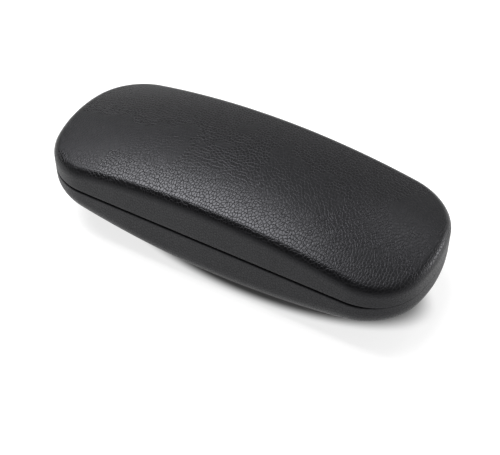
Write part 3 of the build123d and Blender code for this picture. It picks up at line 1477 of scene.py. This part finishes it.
@dataclass
class Bridge:
    """The strips across the hinges: the leather spine outside and the fabric flap inside.

    Attributes:
        outline: The plan outline.
        spine_half_length: X at which the spine ends.
        spine_reach: How far the spine reaches over and under the axis.
        groove: Depth of the shallow valley along the spine.
        flap_half_length: X at which the flap ends.
        flap_reach: How far the flap reaches over and under the axis.
        flap_thickness: Thickness of the flap.
        flap_edge: Power of the curve with which the flap thins out to its edges.
        columns: Number of points round the whole outline.
        bend_share: Share of the spine's reach over which it would bend; not used.
        least_side: Smallest side of a sheet; not used.
    """

    outline: Outline
    spine_half_length: float = 67.12 * MM
    spine_reach: float = 3.5 * MM
    groove: float = 0.18 * MM
    flap_half_length: float = 57.5 * MM
    flap_reach: float = 6.5 * MM
    flap_thickness: float = 0.5 * MM
    flap_edge: int = 12
    columns: int = 360
    bend_share: float = 0.97
    least_side: float = 10 * MM

    def spine_depths(self, share: float) -> tuple[float, float]:
        """Return the spine's outer and inner depth, with its shallow valley along the middle."""
        return self.groove * (1 - share**2) ** 2, LAYERS.leather

    def flap_depths(self, share: float) -> tuple[float, float]:
        """Return the flap's outer and inner depth, thinning out to its edges."""
        thickness = self.flap_thickness * (1 - abs(share) ** self.flap_edge)
        return LAYERS.lining_inner, LAYERS.lining_inner + thickness

    def strip(
        self,
        name: str,
        half_length: float,
        reach: float,
        depths: Callable[[float], tuple[float, float]],
        rows: int,
    ) -> Object:
        """Make a closed strip that follows the back of the outline.

        Args:
            name: The piece's name.
            half_length: X at which the strip ends.
            reach: How far it reaches over and under the axis.
            depths: The outer and inner depth for a height from -1 to 1 of the reach.
            rows: Number of rows of points over the height.

        Returns:
            The new object.
        """
        foot, out = self.outline.walk(self.columns, [half_length])
        rounding = 1e-9
        keep = (foot[:, 1] > 0) & (np.abs(foot[:, 0]) <= half_length + rounding)
        foot, out = foot[keep], out[keep]
        order = np.argsort(foot[:, 0])
        foot, out = foot[order], out[order]
        count = len(foot)
        loop = [(share, depths(share)[0]) for share in np.linspace(-1, 1, rows)]
        loop += [(share, depths(share)[1]) for share in np.linspace(1, -1, rows)]
        lines = []
        for share, depth in loop:
            height = np.full(count, PARTING + share * reach)
            lines.append(np.column_stack([foot - out * depth, height]))
        points = np.concatenate(lines)
        faces = []
        for row in range(len(loop)):
            here, there = row * count, (row + 1) % len(loop) * count
            faces += [(here + k, there + k, there + k + 1, here + k + 1) for k in range(count - 1)]
        for end in (0, count - 1):
            for row in range(rows - 1):
                far = len(loop) - 1 - row
                faces.append(tuple(line * count + end for line in (row, row + 1, far - 1, far)))
        mesh = plain_mesh(name, points.tolist(), faces=faces)
        store_cover(mesh, np.ones(len(points)), points[:, [0, 2, 1]] * (1.0, 1.0, 0.0))
        return finish_mesh(mesh)

    def build(self, finishes: Finishes) -> None:
        """Make both strips and put them in place of their nodes.

        Args:
            finishes: The materials.
        """
        reach, half_length = self.spine_reach, self.spine_half_length
        spine = self.strip("spine_strip", half_length, reach, self.spine_depths, 33)
        spine.data.materials.append(finishes.spine)
        bend_piece(spine, "spine_leather")
        reach, half_length = self.flap_reach, self.flap_half_length
        flap = self.strip("flap_strip", half_length, reach, self.flap_depths, 41)
        flap.data.materials.append(finishes.flap)
        bend_piece(flap, "hinge_flap")


def bend_piece(piece: Object, node: str) -> None:
    """Let a piece stand for a node: hide the node and bake the piece's place into its mesh.

    Args:
        piece: The piece.
        node: The CAD node.
    """
    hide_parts(node)
    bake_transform(piece)
    log.info("%s: %d faces across the hinge", piece.name, len(piece.data.polygons))


@dataclass
class SpringHinges:
    """Rivets, pins and torsion springs of the two hinges.

    Attributes:
        centres: X of each hinge.
        coil_radius: Radius of the coil's centre line.
        wire_radius: Radius of the wire.
        coil_length: Length of the coil along the pin.
        turns: Number of turns.
        leg_length: Length of each leg.
        leg_lean: Sideways lean of a leg towards its leaf.
        turn_steps: Stretches in one turn of the coil.
        rivet_spread: From a hinge's middle to its rivets.
        head_radius: Radius of a rivet's heads.
        shank_radius: Radius of its shank.
        head_thickness: Thickness of its heads.
        rivet_sides: Number of sides round a rivet.
    """

    centres: dict[str, float] = field(
        default_factory=lambda: {"left": -30 * MM, "right": 30 * MM}
    )
    coil_radius: float = 1.02 * MM
    wire_radius: float = 0.22 * MM
    coil_length: float = 9.2 * MM
    turns: int = 19
    leg_length: float = 6.4 * MM
    leg_lean: float = 0.5 * MM
    turn_steps: int = 24
    rivet_spread: float = 10 * MM
    head_radius: float = 1.5 * MM
    shank_radius: float = 0.8 * MM
    head_thickness: float = 0.4 * MM
    rivet_sides: int = 28

    def spring_path(self, centre: float) -> list[tuple[float, float, float]]:
        """Return the wire's centre line.

        Args:
            centre: X of the hinge.

        Returns:
            Points along a leg on the base's leaf, the coil, and a leg on the lid's leaf.
        """
        half_turn, radius = self.turn_steps // 2, self.coil_radius
        steps = self.turns * self.turn_steps + half_turn
        coil = []
        for step in range(steps + 1):
            share = step / steps
            angle = pi + share * steps / self.turn_steps * 2 * pi
            x = centre + self.coil_length * (share - 0.5)
            coil.append((x, AXIS_Y + radius * cos(angle), PARTING + radius * sin(angle)))
        low = (coil[0][0], coil[0][1] + self.leg_lean, PARTING - self.leg_length)
        back = coil[-1][1] - AXIS_Y
        high = (coil[-1][0], AXIS_Y - abs(back) + self.leg_lean, PARTING + self.leg_length)
        return [low, *coil[:-half_turn], (coil[-1][0], AXIS_Y - radius, PARTING), high]

    def build_spring(self, place: str, finishes: Finishes, trees: Trees) -> None:
        """Make one torsion spring in place of its node.

        Args:
            place: left or right.
            finishes: The materials.
            trees: The geometry node trees.
        """
        path = self.spring_path(self.centres[place])
        line = [(k, k + 1) for k in range(len(path) - 1)]
        spring = link_piece(plain_mesh(f"coil_spring_{place}", path, line))
        values = {"Wire Radius": self.wire_radius, "Material": finishes.spring}
        apply_geometry_tree(spring, trees.spring, values)
        bend_piece(spring, f"torsion_spring_{place}")

    def rivet_mesh(self, node: str) -> Object:
        """Make one rivet about the origin, its axis along Y, as long as the node's rivets.

        Args:
            node: The CAD node that holds the rivets.

        Returns:
            The rivet, to be repeated.
        """
        low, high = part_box(node)
        length, head, shank = high.y - low.y, self.head_radius, self.shank_radius
        thick, edge, dimple, around = self.head_thickness, 0.1 * MM, 0.16 * MM, self.rivet_sides
        domed_head = [
            (0.0, 0.0),
            (0.5 * head, 0.02 * MM),
            (0.85 * head, 0.12 * MM),
            (head, thick),
            (shank, thick),
        ]
        rolled_head = [
            (shank, length - thick),
            (head, length - thick),
            (head, length - edge),
            (head - edge, length),
            (0.35 * head, length),
            (0.25 * head, length - 0.12 * MM),
            (0.0, length - dimple),
        ]
        profile = domed_head + rolled_head
        turns = [2 * pi * k / around for k in range(around)]
        points = [
            (radius * cos(turn), y - length / 2, radius * sin(turn))
            for radius, y in profile
            for turn in turns
        ]
        faces = []
        for row in range(len(profile) - 1):
            here, there = row * around, (row + 1) * around
            for k in range(around):
                ahead = (k + 1) % around
                faces.append((here + k, here + ahead, there + ahead, there + k))
        return finish_mesh(plain_mesh("rivet_pattern", points, faces=faces))

    def build_rivets(self, body: Body, finishes: Finishes, trees: Trees) -> None:
        """Set the four rivets of one half.

        Args:
            body: The half.
            finishes: The materials.
            trees: The geometry node trees.
        """
        node = f"{body.value}_rivets"
        low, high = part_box(node)
        middle_y, middle_z = (low.y + high.y) / 2, (low.z + high.z) / 2
        places = [
            (centre + side * self.rivet_spread, middle_y, middle_z)
            for centre in self.centres.values()
            for side in (-1, 1)
        ]
        rivets = link_piece(plain_mesh(f"{body.value}_rivet_set", places))
        pattern = self.rivet_mesh(node)
        apply_geometry_tree(rivets, trees.rivets, {"Rivet": pattern, "Material": finishes.hinge})
        bpy.data.objects.remove(pattern)
        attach(rivets, body.value)
        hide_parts(node)
        log.info("%s: %d faces", rivets.name, len(rivets.data.polygons))

    def build(self, finishes: Finishes, trees: Trees) -> None:
        """Make every hinge piece and dress the pins.

        Args:
            finishes: The materials.
            trees: The geometry node trees.
        """
        for body in Body:
            self.build_rivets(body, finishes, trees)
        for place in self.centres:
            self.build_spring(place, finishes, trees)
            dress_node(f"hinge_pin_{place}", finishes.spring)


# --------------------------------------------------------------------------- studio


@dataclass(frozen=True)
class SoftLight:
    """A soft rectangular light that points at the case.

    Attributes:
        name: The light's name.
        way: Direction from the case to the light.
        size: Its width and height.
        power: Its power in watts.
        distance: Its distance from the point it faces.
        target: The point it faces.
    """

    name: str
    way: tuple[float, float, float]
    size: tuple[float, float]
    power: float
    distance: float = 0.9
    target: tuple[float, float, float] = (0, 0, 0.02)

    def add(self) -> None:
        """Place the light, its width level and as near to X as its direction allows."""
        data = bpy.data.lights.new(self.name, "AREA")
        data.shape = "RECTANGLE"
        data.size, data.size_y = self.size
        data.energy = self.power
        light = bpy.data.objects.new(self.name, data)
        bpy.context.scene.collection.objects.link(light)
        facing = Vector(self.way).normalized()
        right = (Vector((1, 0, 0)) - facing * facing.x).normalized()
        turned = Matrix((right, facing.cross(right), facing)).transposed().to_4x4()
        place = Vector(self.target) + facing * self.distance
        light.matrix_world = Matrix.Translation(place) @ turned


@dataclass
class Studio:
    """White sweep, soft lights and the camera.

    Attributes:
        azimuth: Camera's turn to the right of the front, in degrees.
        elevation: Camera's height over the level, in degrees.
        distance: Camera's distance from the middle of the parting plane, along its view.
        shift_x: Camera's place to the left of that line.
        shift_y: Camera's place below that line.
        focal: Focal length in image widths.
        floor_half: Half of the floor's side.
        floor_tone: Brightness of the floor's own white.
        floor_glow: Light that the back-lit sweep adds away from the case.
        shade_glow: Light that it adds close round the case, inside the painted shadow.
        shade_shift: The painted shadow's offset, in half lengths and half widths of the case.
        shade_edge: Where the painted shadow starts and stops to fade, in the same measure.
        bright: Radiance of the white back of the room.
        dark: Radiance of its dim front, where the camera stands.
        bright_way: Direction of the bright side.
        lights: The lights.
    """

    azimuth: float = 29.467
    elevation: float = 46.237
    distance: float = 451.6 * MM
    shift_x: float = -1.373 * MM
    shift_y: float = 12.911 * MM
    focal: float = 1170.4 / 500
    floor_half: float = 3.0
    floor_tone: float = 0.32
    floor_glow: float = 0.78
    shade_glow: float = 0.02
    shade_shift: tuple[float, float] = (-0.13, 0.07)
    shade_edge: tuple[float, float] = (0.75, 0.91)
    bright: float = 0.68
    dark: float = 0.16
    bright_way: tuple[float, float, float] = (0.25, 0.75, 0.6)
    lights: tuple[SoftLight, ...] = (
        SoftLight("Overhead softbox", (-0.41, 0.09, 0.91), (0.74, 0.42), 15.0),
        SoftLight("Right window", (0.78, 0.61, 0.14), (0.4, 0.25), 3.0),
        SoftLight("Back strip", (0.19, 0.62, 0.77), (0.14, 0.3), 0.7),
    )

    def add_camera(self) -> None:
        """Place the camera."""
        turn, lift = radians(self.azimuth), radians(self.elevation)
        back = Vector((sin(turn) * cos(lift), -cos(turn) * cos(lift), sin(lift)))
        right = Vector((cos(turn), sin(turn), 0))
        up = back.cross(right)
        data = bpy.data.cameras.new("Camera")
        data.sensor_width = 36.0
        data.lens = self.focal * data.sensor_width
        camera = bpy.data.objects.new("Camera", data)
        bpy.context.scene.collection.objects.link(camera)
        middle = Vector((0, 0, PARTING))
        place = middle + back * self.distance - right * self.shift_x - up * self.shift_y
        turned = Matrix((right, up, back)).transposed().to_4x4()
        camera.matrix_world = Matrix.Translation(place) @ turned
        bpy.context.scene.camera = camera

    def add_floor(self) -> None:
        """Lay the white floor, glowing but for a painted shadow close round the case."""
        half = self.floor_half
        corners = [(-half, -half, 0), (half, -half, 0), (half, half, 0), (-half, half, 0)]
        floor = link_piece(plain_mesh("studio_floor", corners, faces=[(0, 1, 2, 3)]))
        material, tree, shader, place = start_material("White sweep")
        shader.inputs["Base Color"].default_value = (*[self.floor_tone] * 3, 1)
        shader.inputs["Roughness"].default_value = 0.8
        shader.inputs["Specular IOR Level"].default_value = 0.1
        # Painted shadow: the glow fades out in an oval round the case, shifted towards the front
        # right like a cast shadow.
        high = cad_box[1]
        oval = add_node(tree, "ShaderNodeVectorMath", operation="MULTIPLY_ADD")
        oval.inputs[1].default_value = (1 / high[0], 1 / high[1], 0.0)
        oval.inputs[2].default_value = (*self.shade_shift, 0.0)
        tree.links.new(place, oval.inputs[0])
        away = add_node(tree, "ShaderNodeVectorMath", operation="LENGTH")
        tree.links.new(oval.outputs[0], away.inputs[0])
        levels = (*self.shade_edge, self.shade_glow, self.floor_glow)
        glow = ramp_node(tree, away.outputs["Value"], *levels)
        shader.inputs["Emission Color"].default_value = (1, 1, 1, 1)
        tree.links.new(glow, shader.inputs["Emission Strength"])
        floor.data.materials.append(material)

    def add_world(self) -> None:
        """Light the room from the back and above, with a white level below the horizon."""
        world = bpy.data.worlds.new("Studio")
        bpy.context.scene.world = world
        world.use_nodes = True
        tree = world.node_tree
        link = tree.links.new
        way = add_node(tree, "ShaderNodeTexCoord").outputs["Generated"]
        facing = add_node(tree, "ShaderNodeVectorMath", operation="DOT_PRODUCT")
        facing.inputs[1].default_value = Vector(self.bright_way).normalized()
        link(way, facing.inputs[0])
        room = ramp_node(tree, facing.outputs["Value"], 0.05, 0.62, self.dark, self.bright)
        level = add_node(tree, "ShaderNodeSeparateXYZ")
        link(way, level.inputs[0])
        low_white = ramp_node(tree, level.outputs["Z"], 0.06, 0.1, 1.0, 0.0)
        backdrop = tree.nodes["Background"]
        backdrop.inputs["Color"].default_value = (1, 1, 1, 1)
        link(math_node(tree, "MAXIMUM", room, low_white), backdrop.inputs["Strength"])

    def build(self) -> None:
        """Set up the whole studio."""
        self.add_camera()
        self.add_floor()
        self.add_world()
        for light in self.lights:
            light.add()
        view = bpy.context.scene.view_settings
        view.view_transform = "Standard"
        view.look = "None"


def main() -> None:
    """Build the case on its frame and the studio round it."""
    logging.basicConfig(level=logging.INFO, format="%(name)s %(message)s")
    low, high = cad_box
    outline = Outline(high[0] - low[0], high[1] - low[1])
    lid_form = HalfForm(
        side=1, crest=19.95 * MM, arch=295 * MM, crown=118 * MM, roll=4.5 * MM, flat=30 * MM
    )
    base_form = HalfForm(
        side=-1, crest=23.6 * MM, arch=263 * MM, crown=82 * MM, roll=9 * MM, flat=PARTING
    )
    finishes, trees = Finishes.make_all(), Trees.make_all()
    CoverHalf(Body.BASE, base_form, outline).build(finishes, trees)
    CoverHalf(Body.LID, lid_form, outline).build(finishes, trees)
    Bridge(outline).build(finishes)
    SpringHinges().build(finishes, trees)
    Studio().build()


if __name__ == "__main__":
    main()
